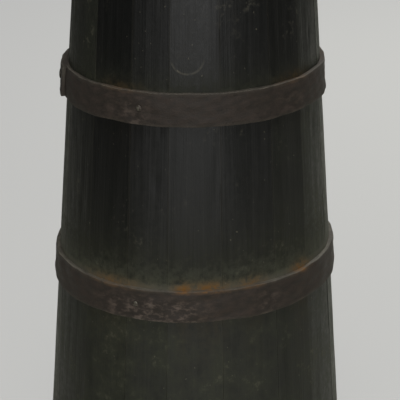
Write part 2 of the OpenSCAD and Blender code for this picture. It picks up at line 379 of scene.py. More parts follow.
def old_black_paint(colours):
    # Linseed-oil paint brushed along planed boards and rubbed for years: almost black, with a low satin gloss
    # of which every stave has kept its own share, dulled here and there by a grey bloom that is partly a
    # painted sheen on the front staves. Grain and brush marks show as fine upright streaks, dry paint lies
    # dull and olive low down and on some staves, partly as a painted reflection and sheen, dust lies above
    # the hoops, with the corner next to a hoop painted paler as painted light against its shade, and rust has
    # run into the paint beside them.
    material, tree = new_finish("old_black_oil_paint")
    board = add(tree, "UVMap", uv_map="grain")
    place = add(tree, "TexCoord", out="Object")
    height = add(tree, "SeparateXYZ", {0: place}, out="Z")
    behind = add(tree, "SeparateXYZ", {0: place}, out="Y")
    edge, dust_and_sheen_share, bloom_and_sheen, settled_dust_and_corner_light, stain, gloss = point_marks(
        tree, "edge", "dust_and_sheen_share", "bloom_and_sheen", "settled_dust_and_corner_light", "stain", "gloss")
    # Grain lines 1.7 mm apart and 110 mm long, brush marks of 8 by 240 mm, blotches of 30 mm, dust in
    # crumbs of 6 mm, 3 mm grit
    grain = noise(board, (1.7, 110, 1), 3, rough=0.6)
    brush = noise(board, (8, 240, 1), 2)
    blotch = noise(place, 30, 4, rough=0.6)
    crumbs = noise(place, 6, 5, rough=0.7)
    grit = noise(board, (2.8, 3.6, 1), 1)
    streaks = times(grain, brush)
    colour = lay(ramp(streaks, 0.2, 0.42), colours.paint, colours.rubbed_paint)
    # Bloom in streaks and crumbs, thinner towards the top; on the front staves it is partly a painted sheen
    drawn = ramp(streaks, 0.15, 0.4, 0.6, 1.4)
    crumbly = ramp(crumbs, 0.3, 0.7, 0.7, 1.3)
    upward = ramp(height, *BLOOM_AND_SHEEN_FADE, 1.1, 0.15)
    colour = lay(times(crumbly, drawn, bloom_and_sheen, upward, clamp=True), colour, colours.bloom_and_sheen)
    # Dry paint with dust in blotches, partly a painted reflection and sheen on the staves that are given more
    # of it
    patchy = ramp(blotch, 0.35, 0.7, 0.35)
    swept = ramp(streaks, 0.15, 0.4, 0.9, 1.1)
    mottle = ramp(crumbs, 0.3, 0.7, 0.55, 1.45)
    dusty_and_painted_light = times(dust_and_sheen_share, patchy, swept, mottle, clamp=True)
    colour = lay(dusty_and_painted_light, colour, colours.dust)
    # Loose dust above the hoops, and the corner next to a hoop painted pale as painted light against its
    # shade
    loose = times(ramp(crumbs, 0.3, 0.6, 0.4, 1.2), settled_dust_and_corner_light, clamp=True)
    colour = lay(loose, colour, colours.settled_dust)
    colour = lay(ramp(settled_dust_and_corner_light, 0.75, 1, high=0.6), colour, colours.wear_and_highlight)
    # Rust that has run, and long edges rubbed bare
    run = times(ramp(crumbs, 0.34, 0.58), stain, clamp=True)
    colour = lay(run, colour, colours.rust_stain)
    rubbed = ramp(edge, 1.2 * MM, 0.4 * MM, high=0.06, easing="SMOOTHSTEP")
    colour = lay(times(rubbed, blotch), colour, colours.bare_edge)
    # The lower half of a ring, scraped into the paint above the upper hoop
    ring = add(tree, "VectorMath", {0: place, 1: RING_MARK}, operation="SUBTRACT")
    ring = add(tree, "VectorMath", {0: ring, 1: (1, 0, 1)}, operation="MULTIPLY")
    ring = add(tree, "VectorMath", {0: ring}, operation="LENGTH", out="Value")
    ring = add(tree, "Math", {0: ring, 1: RING_R}, operation="SUBTRACT")
    ring = add(tree, "Math", {0: ring}, operation="ABSOLUTE")
    ring = ramp(ring, 1.2 * MM, 0.4 * MM, high=0.3)
    lower = ramp(height, RING_MARK[2], RING_MARK[2] - 9 * MM)
    front = add(tree, "Math", {0: behind, 1: 0}, operation="LESS_THAN")
    scraped = ramp(crumbs, 0.36, 0.56, high=0.8)
    colour = lay(times(ring, lower, front, scraped), colour, colours.bare_edge)
    # Scuffs in loose groups of about 20 mm, more of them on dry paint, and chips the size of the grit
    knocked = ramp(plus(blotch, 0.06, dust_and_sheen_share), 0.57, 0.67)
    scuff = ramp(crumbs, 0.54, 0.64, high=0.16)
    colour = lay(times(scuff, knocked), colour, colours.bare_edge)
    colour = lay(ramp(grit, 0.75, 0.785, high=0.32), colour, colours.bare_edge)
    # Dry paint is rougher, and loose dust takes the gloss away
    rough = ramp(dusty_and_painted_light, 0, 1, 0.22, 0.44)
    rough = plus(plus(rough, 0.16, grain), 0.28, crumbs)
    shine = times(gloss, ramp(loose, 0, 0.3, 0.32, 0.09))
    surface(tree, {
        "Base Color": colour, "Roughness": rough, "IOR": 1.48, "Specular IOR Level": shine,
        "Normal": relief(plus(streaks, 0.15, grit), 0.7, 0.7)})
    return material


def weathered_wood(name, pale, dark, grain, roughness):
    # Sawn or turned wood that milk and hands have darkened: long grain lines with a wavering edge along one
    # axis, broad stains, no gloss left except where it is handled.
    material, tree = new_finish(name)
    place = add(tree, "TexCoord", out="Object")
    # Growth lines 3 mm apart and 180 mm long, fibres of 0.8 by 30 mm, stains of 45 mm
    along = np.arange(3) == "xyz".index(grain)
    rings = noise(place, np.where(along, 180, 3), 3, twist=0.4)
    fibre = noise(place, np.where(along, 30, 0.8), 2)
    stain = noise(place, 45, 4)
    figure = times(rings, fibre)
    colour = lay(ramp(figure, 0.14, 0.38), dark, pale)
    colour = lay(ramp(stain, 0.35, 0.75, high=0.65), colour, dark)
    surface(tree, {
        "Base Color": colour, "Roughness": ramp(fibre, 0, 1, roughness - 0.12, roughness + 0.12),
        "Normal": relief(figure, 0.45, 0.6), "IOR": 1.5})
    return material


def rusted_strap_iron(colours):
    # Wrought strap iron, hammered and long rusted: a dry brown-grey skin with pits and darker scale, orange
    # rust where water stood on the upper edge, a dry, flaking crust below it, and a paler line along that
    # edge, worn and dust-covered and partly a painted highlight, with a fainter one along the lower edge.
    material, tree = new_finish("rusted_strap_iron")
    strap = add(tree, "UVMap", uv_map="grain")
    ledge_wear_and_highlight, rust, dry = point_marks(tree, "ledge_wear_and_highlight", "rust", "dry")
    # Scale in flakes of 9 by 5 mm, pits of 1.3 mm, rolling lines along the strap 1.5 mm apart
    flakes = noise(strap, (9, 5, 1), 5, rough=0.62)
    pits = noise(strap, 1.3, 2)
    rolled = noise(strap, (60, 1.5, 1), 2)
    colour = lay(ramp(flakes, 0.32, 0.68), colours.iron_scale, colours.iron)
    crust = times(ramp(flakes, 0.48, 0.66, high=0.6), dry, clamp=True)
    colour = lay(crust, colour, colours.crust)
    patch = times(ramp(flakes, 0.4, 0.62, 0.15), rust, clamp=True)
    colour = lay(patch, colour, colours.rust)
    # The worn edge and its painted highlight are broken by the rolling lines, by flakes and by rust
    worn = ramp(rolled, 0.3, 0.65, 0.35, 0.9)
    broken = ramp(flakes, 0.38, 0.58, 0.5)
    clean = add(tree, "Math", {0: 1, 1: patch}, operation="SUBTRACT")
    colour = lay(times(worn, broken, clean, ledge_wear_and_highlight), colour, colours.wear_and_highlight)
    surface(tree, {
        "Base Color": colour, "Roughness": ramp(flakes, 0, 1, 0.5, 0.85), "Specular IOR Level": 0.35,
        "Normal": relief(plus(flakes, 0.5, pits), 0.7, 0.7)})
    return material


def hammered_heads(colours):
    # Nail and rivet heads of the same iron, rubbed paler on their crowns by every cloth that passed.
    material, tree = new_finish("hammered_iron_heads")
    # Hammer facets of 2.5 mm
    facets = noise(add(tree, "TexCoord", out="Object"), 2.5, 3)
    surface(tree, {
        "Base Color": lay(ramp(facets, 0.35, 0.7), colours.iron, colours.wear_and_highlight),
        "Metallic": 0.5, "Roughness": ramp(facets, 0, 1, 0.3, 0.7),
        "Normal": relief(facets, 0.6, 0.6)})
    return material


def worn_lid_paint(colours, rim_r, recess_r, top):
    # The same black paint on a single broad board, its grain along X, rubbed to grey wood along its upper
    # edge, where hands lift it, and round the cup.
    material, tree = new_finish("worn_black_paint_on_board")
    place = add(tree, "TexCoord", out="Object")
    flat = add(tree, "VectorMath", {0: place, 1: (1, 1, 0)}, operation="MULTIPLY")
    reach = add(tree, "VectorMath", {0: flat}, operation="LENGTH", out="Value")
    height = add(tree, "SeparateXYZ", {0: place}, out="Z")
    # Grain lines 2.2 mm apart and 120 mm long, blotches of 26 mm
    grain = noise(place, (120, 2.2, 2.2), 3, twist=0.3)
    blotch = noise(place, 26, 5, rough=0.65)
    colour = lay(ramp(grain, 0.4, 0.7), colours.paint, colours.rubbed_paint)
    colour = lay(ramp(blotch, 0.4, 0.75, high=0.5), colour, colours.dust)
    rim = ramp(reach, rim_r - 8 * MM, rim_r - MM)
    rim = times(rim, ramp(height, top - 11 * MM, top - 3 * MM))
    cup = ramp(reach, recess_r + 9 * MM, recess_r)
    handled = add(tree, "Math", {0: rim, 1: cup}, operation="MAXIMUM")
    handled = plus(plus(blotch, 0.55, handled), 0.5, grain)
    colour = lay(ramp(handled, 0.98, 1.22, high=0.75), colour, colours.bare_edge)
    surface(tree, {
        "Base Color": colour, "Roughness": ramp(blotch, 0, 1, 0.4, 0.72), "IOR": 1.48,
        "Normal": relief(grain, 0.5, 0.5)})
    return material


def backdrop_share(tree):
    """How much of the even backdrop a ray meets: all of it from the camera or through glass, and a tenth of
    it in a gloss, because the sides of the room that old paint mirrors are dim."""
    camera, through, gloss = (
        add(tree, "LightPath", out=f"Is {kind} Ray") for kind in ("Camera", "Transmission", "Glossy"))
    seen = add(tree, "Math", {0: camera, 1: through}, operation="MAXIMUM")
    return add(tree, "Math", {0: seen, 1: times(gloss, 0.1)}, operation="MAXIMUM")


def matt_floor(colours):
    # Matt studio paper: pale grey without gloss, seen evenly lit but with the churn's soft shadow left in it.
    material, tree = new_finish("matt_studio_paper")
    paper = add(tree, "BsdfPrincipled", {
        "Base Color": colours.floor, "Roughness": 1.0, "Specular IOR Level": 0.0})
    even = add(tree, "Emission", {"Color": colours.backdrop})
    seen = add(tree, "MixShader", {0: 0.8, 1: paper, 2: even})
    mixed = add(tree, "MixShader", {0: backdrop_share(tree), 1: paper, 2: seen})
    add(tree, "OutputMaterial", {"Surface": mixed})
    return material


def stave_heights(sizes, groove):
    """Row heights of a stave: close together in the rounded ends, at the groove and above each hoop."""
    ends = 1 - np.cos(np.linspace(0, math.pi / 2, 5))
    rise = np.linspace(sizes.end_round, STAVE_H - sizes.end_round, sizes.stave_rows)
    steps = np.array(groove)[:, None] + np.array([-0.05, 0.05]) * MM
    tops = np.array([measure_hoop(node)[1] for node in HOOPS])
    above = tops[:, None] + np.arange(-4, 12, 1.5) * MM
    heights = np.concatenate([
        ends * sizes.end_round, rise, STAVE_H - ends * sizes.end_round, steps.ravel(), above.ravel()])
    return np.unique(np.round(heights, 5))


def measure_groove():
    """Lower edge, upper edge and radius of the groove: the bottom's tongue with a little room round it."""
    reach, z = profile("bottom_board_middle")
    tongue = z[reach > reach.max() - 0.5 * MM]
    room = 0.15 * MM
    return (tongue.min() - room, tongue.max() + room), reach.max() + room


def beside_hoops(angle, z):
    """Dust above each hoop, whose thickest part paints the corner paler as painted light, and rust run into
    the wall there.

    Dust falls off as an exponential over up to 25 mm above a hoop, rust as a bell curve over 6 mm, and a
    little rust goes on below the hoop as an exponential over 25 mm.
    """
    settled_dust_and_corner_light, stain = np.zeros_like(z), np.zeros_like(z)
    for node in HOOPS:
        bottom, top, slope = measure_hoop(node)[:3]
        tilt = slope * wall(z) * np.sin(angle)
        above, below = np.maximum(z - top - tilt, 0), np.maximum(bottom + tilt - z, 0)
        over = z - tilt > (bottom + top) / 2
        dust = HOOP_DUST_AND_LIGHT[node] * np.exp(-above / (25 * MM * HOOP_DUST_AND_LIGHT[node]))
        settled_dust_and_corner_light = np.maximum(settled_dust_and_corner_light, np.where(over, dust, 0))
        fade = np.where(over, np.exp(-(above / (6 * MM)) ** 2), 0.07 * np.exp(-below / (25 * MM)))
        stain = np.maximum(stain, HOOP_DUST_AND_LIGHT[node] * strength(RUST_PATCHES[node], angle) * fade)
    return settled_dust_and_corner_light, stain


def stave_skin(node, sizes, rng):
    """A stave as rows of points up its length: each row goes across the face and back across the inside.

    The face lies on the tapered wall, plus a constant by which the stave stands proud, minus its flat (a
    parabola across its width, deepest in the middle), plus slow waves, minus dents, minus the rounding of its
    edges and ends. The inside lies one thickness further in, with the groove for the bottom and a bevel at
    the mouth.
    """
    middle, half = span(polar(node_points(node))[0])
    groove, groove_r = measure_groove()
    across = np.sin(np.linspace(-1, 1, sizes.stave_columns) * math.pi / 2)
    s, z = np.meshgrid(across, stave_heights(sizes, groove))
    radius = wall(z)
    half = half + sizes.filled / radius
    angle, u, edge = middle + half * s, half * radius * s, half * radius * (1 - np.abs(s))
    proud = rng.uniform(-1, 1) * sizes.stand_proud
    flat = rng.uniform(0.4, 1) * sizes.flat
    face = radius + proud - flat * (1 - s ** 2)
    face += sizes.wave * ripple(u, z, rng, count=7, across=22 * MM, along=150 * MM)
    face -= dents(u, z, rng, count=9, width=4 * MM, height=11 * MM, depth=sizes.dent_depth)
    face -= round_off(edge, sizes.arris) + round_off(np.minimum(z, STAVE_H - z), sizes.end_round)
    back = radius - STAVE_T + sizes.mouth_bevel * np.clip((z - STAVE_H) / (2 * sizes.mouth_bevel) + 1, 0, 1)
    back = np.where((z > groove[0]) & (z < groove[1]), groove_r, back)
    points = np.concatenate([around(angle, face, z), around(angle, back, z)[:, ::-1]], 1)
    uv = np.stack([u, z], -1)
    return points, np.concatenate([uv, uv[:, ::-1]], 1), edge, *beside_hoops(angle, z)


def hoop_section(thickness, width, sizes, steps=9):
    """A strap's section, counted from the middle of its inner side: a softened rectangle.

    Columns are the distance out of the wall and the height above the lower edge. The broad outer side is cut
    into short lengths, so that it can waver, and the inner corners are sharper.
    """
    rise = np.linspace(0, 1, steps)
    outer = np.stack([np.full_like(rise, thickness), width * rise], -1)
    corners = np.vstack([[0, 0], [thickness / 2, 0], outer, [thickness / 2, width], [0, width]])
    radius = np.full(len(corners), 0.4 * MM)
    radius[[2, -3]] = sizes.hoop_round
    return np.vstack([[0, width / 2], soften(corners, radius)])[::-1]


def hoop_skin(node, sizes, rng):
    """A strap bent round the wall and lapped over its own start: its section carried along the angle.

    The strap starts under the lap and goes a full turn and the lap further. Before the lap it climbs by one
    thickness along a smooth step. Both edges and the beaten face waver by slow sine waves.
    """
    bottom, top, slope, thickness, start, lap = measure_hoop(node)
    section = hoop_section(thickness, top - bottom, sizes)
    angle = (start + np.linspace(0, 1, sizes.hoop_rows) * (TURN + lap))[:, None]
    along = angle * wall((bottom + top) / 2)
    out, rise = section[None, :, 0], section[None, :, 1]
    share = rise / (top - bottom)
    high, low = (ripple(along, 0 * along, rng, count=6, across=60 * MM, along=1) for _ in range(2))
    z = bottom + rise + sizes.hoop_wave * (share * high + (1 - share) * low)
    z = z + slope * wall(z) * np.sin(angle)
    climb = sizes.climb / wall((bottom + top) / 2)
    lift = thickness * smooth((angle - start - TURN + climb) / climb)
    u, v = np.broadcast_arrays(along, rise)
    beaten = 0.12 * thickness * ripple(u, v, rng, count=10, across=30 * MM, along=16 * MM)
    depth = np.where(out > thickness / 3, out + beaten, out - sizes.hoop_bite)
    points = around(angle, wall(z) + lift + depth, z)
    length = np.concatenate([[0], np.cumsum(np.linalg.norm(np.diff(section, axis=0), axis=1))])
    uv = np.stack(np.broadcast_arrays(along, length[None, :]), -1)
    # The upper edge face carries dust, its outer corner is worn as well, and the lower edge only a little;
    # the pale line on the outer corner and along the lower edge is partly a painted highlight
    dusty_and_painted_light, rubbed = 0.2 + 0.8 * HOOP_DUST_AND_LIGHT[node] ** 2, 0.6 + 0.4 * HOOP_DUST_AND_LIGHT[node]
    upper = dusty_and_painted_light + (rubbed - dusty_and_painted_light) * smooth((out / thickness - 0.5) / 0.4)
    worn = upper * smooth((share - 0.97) / 0.03) + 0.15 * smooth((0.06 - share) / 0.04)
    ledge_wear_and_highlight = np.broadcast_to(worn, points.shape[:2])
    dry = strength(CRUST_PATCHES[node], angle) * smooth((0.9 - share) / 0.4)
    rust = strength(RUST_PATCHES[node], angle) * np.clip((share - 0.88) / 0.1, 0.04, 1)
    return points, uv, {"ledge_wear_and_highlight": ledge_wear_and_highlight, "rust": rust, "dry": dry}


def apart(points, reach):
    """Points of a node sorted into separate nails: each takes the points within reach of its first one."""
    groups = []
    while len(points):
        near = np.linalg.norm(points - points[0], axis=1) < reach
        groups.append(points[near])
        points = points[~near]
    return groups


def nail_skin(points, axis, rng, columns=28, rings=10, blows=5):
    """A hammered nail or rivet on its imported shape, as rings from its point up to the crown of its head.

    The shank is straight and tapers to the point. The head is a dome, a quarter of an ellipse from rim to
    crown, cut down by slanting planes, one for each hammer blow, the lowest of which is the surface, and its
    rim wavers inwards by sine waves.
    """
    height = points @ axis
    crown = points[np.argmax(height)]
    drop = height - height.max()
    reach = np.linalg.norm(np.cross(points - crown, axis), axis=1)
    head_r, tip = reach.max(), drop.min()
    head_h = -drop[reach > 0.98 * head_r].max()
    under = drop < -1.5 * head_h
    shank_r, tip_r = reach[under].max(), reach[drop < tip + 0.05 * MM].max()
    shoulder = max(drop[under & (reach > 0.98 * shank_r)].min(), tip + 0.5 * MM)
    dome = np.linspace(0, 0.97, rings) * math.pi / 2
    radius = np.concatenate([[tip_r, shank_r, shank_r], head_r * np.cos(dome)])[:, None]
    z = np.concatenate([[tip, shoulder, -head_h], head_h * (np.sin(dome) - 1)])[:, None]
    on_head = np.arange(len(z))[:, None] >= len(z) - len(dome)
    turn = np.linspace(0, TURN, columns, endpoint=False)[None, :]
    waver = np.sin(2 * turn + rng.uniform(0, TURN)) + np.sin(3 * turn + rng.uniform(0, TURN))
    radius = radius * np.where(on_head, 0.93 + 0.035 * waver, 1)
    facing, lean = rng.uniform(0, TURN, blows), rng.uniform(0.1, 0.3, blows)
    planes = lean * (0.25 * head_r - radius[..., None] * np.cos(turn[..., None] - facing))
    z = np.where(on_head, np.clip(planes.min(-1), -head_h, z), z)
    # Any direction off the axis gives a first side to count the turn from
    side = np.cross(axis, (0.36, 0.48, 0.8))
    side = side / np.linalg.norm(side)
    round_axis = np.cos(turn)[..., None] * side + np.sin(turn)[..., None] * np.cross(axis, side)
    return crown + z[..., None] * axis + radius[..., None] * round_axis


def lathe(outline, rng, sizes, segments, still_r, closed):
    """An outline of radius and height carried round the axis, with its radius wavering a little.

    The waver is two sine waves round the axis, the second turning by 40 radians per metre of height, and it
    grows from nothing over the first 10 mm outside a radius up to which the piece stays round. A closed
    outline makes a ring with a hole, and an open one is closed by a flat face at either end.
    """
    angle = np.linspace(0, TURN, segments, endpoint=False)[None, :]
    radius, z = outline[:, :1], outline[:, 1:]
    waver = np.sin(2 * angle + rng.uniform(0, TURN)) + 0.5 * np.sin(3 * angle + z * 40)
    waver = sizes.turned_wobble * waver * np.clip((radius - still_r) / (10 * MM), 0, 1)
    points = around(angle, radius + waver, z)
    if closed:
        return points, grid_faces(len(outline), segments, closed_rows=True)
    return points, tube_faces(len(outline), segments)


def lid_outline():
    """The lid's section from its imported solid: a board with a hole and a recess, its corners softened."""
    reach, z = profile("lid_top")
    rim_r, hole_r, low, high = reach.max(), reach.min(), z.min(), z.max()
    inner = (z > low + MM) & (z < high - MM) & (reach < rim_r / 2)
    recess_z, recess_r = z[inner].min(), reach[inner].max()
    corners = [(hole_r, low), (rim_r, low), (rim_r, high), (recess_r, high), (recess_r, recess_z),
               (hole_r, recess_z)]
    # Roundest at the upper edge, where hands lift it
    radius = np.array([0.8, 2.5, 6, 1.2, 0.4, 0.8]) * MM
    return soften(corners, radius, steps=6), rim_r, recess_r, high


def cup_outline(steps=24):
    """The cup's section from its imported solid: a bored spigot and foot, a side that swells along half a
    cosine wave to the rim, and a hollow that follows the side with a thicker wall towards the floor."""
    reach, z = profile("splash_cup")
    levels = np.unique(np.round(z, 5))
    bore_r, low, high, rim_r = reach.min(), z.min(), z.max(), reach.max()
    spigot_r = reach[z < low + 0.1 * MM].max()
    foot_z = levels[1]
    foot_r = reach[np.abs(z - foot_z) < 0.1 * MM].max()
    floor_z = z[reach < bore_r + 0.1 * MM].max()
    floor = reach[np.abs(z - floor_z) < 0.1 * MM]
    floor_r = floor[floor < foot_r - 2 * MM].max()
    lip_r = reach[z > high - 0.1 * MM].min()
    t = np.linspace(0, 1, steps)
    swell = foot_r + (rim_r - foot_r) * (1 - np.cos(math.pi * t)) / 2
    side = np.stack([swell, foot_z + (high - foot_z) * t], -1)
    wall_t = (foot_r - floor_r) * (1 - t) + (rim_r - lip_r) * t
    hollow = np.stack([swell - wall_t, floor_z + (high - floor_z) * t], -1)[::-1]
    spigot = [(bore_r, low), (spigot_r, low), (spigot_r, foot_z)]
    corners = np.vstack([spigot, side, hollow, [(bore_r, floor_z)]])
    # Soft corners everywhere but where the spigot meets the foot
    radius = np.full(len(corners), 1.2 * MM)
    radius[2] = 0.2 * MM
    return soften(corners, radius, steps=3)


def staff_outline(rows=240, end_rows=16):
    """The staff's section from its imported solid: the widest point at each level, joined by straight lines.

    Its rows are evenly spaced up to the round end, and spaced there along a quarter of a cosine wave.
    """
    reach, z = profile("dasher_staff")
    levels, place = np.unique(np.round(z, 5), return_inverse=True)
    widest = np.zeros(len(levels))
    np.maximum.at(widest, place, reach)
    top = levels.max() - reach.max()
    end = levels.max() - (levels.max() - top) * np.cos(np.linspace(0, math.pi / 2, end_rows))
    heights = np.concatenate([np.linspace(levels.min(), top, rows), end[1:]])
    heights = np.unique(np.round(heights, 6))
    return np.stack([np.maximum(np.interp(heights, levels, widest), 0.3 * MM), heights], -1)


def length_setting(name, description, default, low=0):
    """A length in metres, and the least that it may be."""
    return bpy.props.FloatProperty(
        name=name, description=description, default=default, min=low, unit="LENGTH", precision=4)


def count_setting(name, description, default, low):
    """A number of points or rows, and the least that it may be."""
    return bpy.props.IntProperty(name=name, description=description, default=default, min=low)


def colour_setting(name, description, code):
    """A colour whose default is an sRGB hex value."""
    return bpy.props.FloatVectorProperty(
        name=name, description=description, subtype="COLOR", size=3, min=0, max=1, default=linear(code))


def power_setting(name, description, default):
    """The power of a lamp in watts."""
    return bpy.props.FloatProperty(
        name=name, description=description, default=default, min=0, subtype="POWER")


class ChurnSizes(bpy.types.PropertyGroup):
    """Sizes of the worn and hand-made shapes"""

    arris: length_setting("Stave edges", "Radius of a stave's rounded long edges", 0.2 * MM, 0.1 * MM)
    filled: length_setting(
        "Filled joints", "How far paint and dirt carry a stave into each open joint", 0.08 * MM)
    end_round: length_setting("Stave ends", "Radius of a stave's rounded ends", 2.5 * MM, 0.5 * MM)
    mouth_bevel: length_setting("Mouth bevel", "Width of the bevel inside the mouth", 3 * MM, 0.5 * MM)
    stand_proud: length_setting(
        "Standing proud", "How far one stave may stand out of or behind the wall", 0.2 * MM)
    flat: length_setting(
        "Flat faces", "How far a planed face may lie behind the circle in its middle", 0.8 * MM)
    wave: length_setting("Plane marks", "Height of the slow waves left by the plane", 0.12 * MM)
    dent_depth: length_setting("Dents", "Depth of the deepest dents in the staves", 0.9 * MM)
    stave_rows: count_setting("Stave rows", "Even rows of points along a stave", 110, 20)
    stave_columns: count_setting("Stave columns", "Points across the face of a stave", 29, 7)
    hoop_round: length_setting("Hoop edges", "Reach of a hoop's rounded outer edges", 0.6 * MM, 0.2 * MM)
    hoop_bite: length_setting("Hoop bite", "How far a hoop driven tight is pressed into the staves", 2 * MM)
    hoop_wave: length_setting("Hoop waver", "How far a hoop's edges waver", 0.35 * MM)
    climb: length_setting("Lap climb", "Length over which a hoop climbs onto its own end", 12 * MM, 3 * MM)
    hoop_rows: count_setting("Hoop rows", "Sections along a hoop", 420, 60)
    turned_wobble: length_setting("Out of round", "How far turned pieces have shrunk out of round", 0.15 * MM)


class ChurnColours(bpy.types.PropertyGroup):
    """Colours of the finishes"""

    paint: colour_setting("Paint", "Black oil paint where it is whole", "#0a0b0a")
    rubbed_paint: colour_setting("Rubbed paint", "Paint rubbed thin along the grain", "#161615")
    # Grey of the bloom, partly a painted sheen on the front staves
    bloom_and_sheen: colour_setting("Bloom", "Grey bloom on old paint", "#262626")
    # Colour of dry paint with dust, partly a painted reflection and sheen on the staves; on the lid, dust
    # only
    dust: colour_setting("Dust", "Dull, dusty paint low down and on dry staves", "#2f3127")
    bare_edge: colour_setting("Bare edge", "Wood showing where paint has gone", "#7a7566")
    settled_dust: colour_setting("Settled dust", "Olive dust on the wall above a hoop", "#46473c")
    rust_stain: colour_setting("Rust stain", "Rust that has run into the paint", "#785426")
    iron: colour_setting("Iron", "Brown skin of the hoop iron", "#372e28")
    iron_scale: colour_setting("Scale", "Darker scale on the hoop iron", "#25201b")
    rust: colour_setting("Rust", "Orange rust on the hoops", "#6b4a22")
    crust: colour_setting("Crust", "Dry, flaking crust on the hoops", "#6b5f57")
    # Pale wear and dust on the hoop edges and nail heads, partly a painted highlight along the hoop edges and
    # painted light in the corner above a hoop
    wear_and_highlight: colour_setting("Worn edge", "Worn and dusty edges of the hoops", "#68655a")
    milk_wood: colour_setting("Inside wood", "Wood inside the vessel", "#8d7554")
    milk_stain: colour_setting("Inside stain", "Stain and dark grain inside the vessel", "#4c3b27")
    staff_wood: colour_setting("Staff wood", "Handled wood of the staff and the cup", "#8a6b45")
    staff_grain: colour_setting("Staff grain", "Dark grain of the staff and the cup", "#4e3821")
    floor: colour_setting("Floor", "Plain floor", "#d0d0c2")
    backdrop: colour_setting("Backdrop", "Pale grey that the camera sees behind the churn", "#c4c4c4")


class ChurnStudio(bpy.types.PropertyGroup):
    """Camera and light"""

    camera_side: length_setting("Camera side", "Camera's place along X", 0.005, -10)
    camera_distance: length_setting("Camera distance", "Camera's distance in front of the axis", 1.227)
    camera_height: length_setting("Camera height", "Camera's height above the floor", 0.794)
    camera_pitch: bpy.props.FloatProperty(
        name="Camera pitch", description="How far the camera looks down", default=math.radians(22.09),
        subtype="ANGLE")
    lens: bpy.props.FloatProperty(name="Lens", description="Focal length in millimetres", default=124.2)
    key_power: power_setting("Key light", "Power of the soft box below the camera", 7)
    front_power: power_setting("Front light", "Power of the broad light behind the camera", 19)
    floor_power: power_setting("Floor light", "Power of the lamp over the floor behind", 20)
    top_power: power_setting("Top light", "Power of the soft box overhead", 3)
    sky: bpy.props.FloatProperty(
        name="Room light", description="Strength of the even light from all round", default=0.07)
    backdrop: bpy.props.FloatProperty(
        name="Backdrop", description="Strength of the backdrop beyond the floor", default=0.85)


class CHURN_OT_stage(bpy.types.Operator):
    """Makes the plain floor, the soft lights and the camera"""

    bl_idname = "churn.stage"
    bl_label = "Stage"

    def execute(self, context):
        studio, colours = context.scene.churn_studio, context.scene.churn_colours
        reach = 8.0
        mesh = bpy.data.meshes.new("floor")
        mesh.from_pydata([(-reach, -reach, 0), (reach, -reach, 0), (reach, reach, 0), (-reach, reach, 0)], [],
                         [(0, 1, 2, 3)])
        mesh.materials.append(matt_floor(colours))
        floor = bpy.data.objects.new("floor", mesh)
        context.scene.collection.objects.link(floor)
        # Each lamp: power, width, height, spread, place, and the point that it faces
        lamps = {
            "key_soft_box": (studio.key_power, 0.7, 0.9, 180, (0, -2.2, 0.75), (0, 0, 0.4)),
            "broad_front_light": (studio.front_power, 3.2, 1.0, 180, (0, -3.0, 0.8), (0, 0, 0.4)),
            "floor_lamp": (studio.floor_power, 1.2, 1.2, 90, (1.1, 1.6, 2.4), (0.6, 1.3, 0)),
            "top_soft_box": (studio.top_power, 0.8, 0.8, 60, (0, -0.6, 2.3), (0, -0.15, 0)),
        }
        for name, (power, width, height, spread, place, target) in lamps.items():
            light = bpy.data.lights.new(name, "AREA")
            light.shape, light.size, light.size_y, light.energy = "RECTANGLE", width, height, power
            light.spread = math.radians(spread)
            lamp = bpy.data.objects.new(name, light)
            away = np.array(place) - np.array(target)
            lamp.location = place
            lamp.rotation_euler = (math.acos(away[2] / np.linalg.norm(away)), 0,
                                   math.atan2(away[1], away[0]) + math.pi / 2)
            lamp.visible_camera = False
            context.scene.collection.objects.link(lamp)
        world = bpy.data.worlds.new("even_room_light")
        world.use_nodes = True
        tree = world.node_tree
        tree.nodes.clear()
        room = add(tree, "Background", {"Color": (1, 1, 1, 1), "Strength": studio.sky})
        backdrop = add(tree, "Background", {"Color": colours.backdrop, "Strength": studio.backdrop})
        mixed = add(tree, "MixShader", {0: backdrop_share(tree), 1: room, 2: backdrop})
        add(tree, "OutputWorld", {"Surface": mixed})
        context.scene.world = world
        camera = bpy.data.objects.new("camera", bpy.data.cameras.new("camera"))
        camera.data.lens, camera.data.sensor_width = studio.lens, 36
        camera.location = (studio.camera_side, -studio.camera_distance, studio.camera_height)
        camera.rotation_euler = (math.pi / 2 - studio.camera_pitch, 0, 0)
        context.scene.collection.objects.link(camera)
        context.scene.camera = camera
        context.scene.view_settings.view_transform = "Standard"
        return {"FINISHED"}


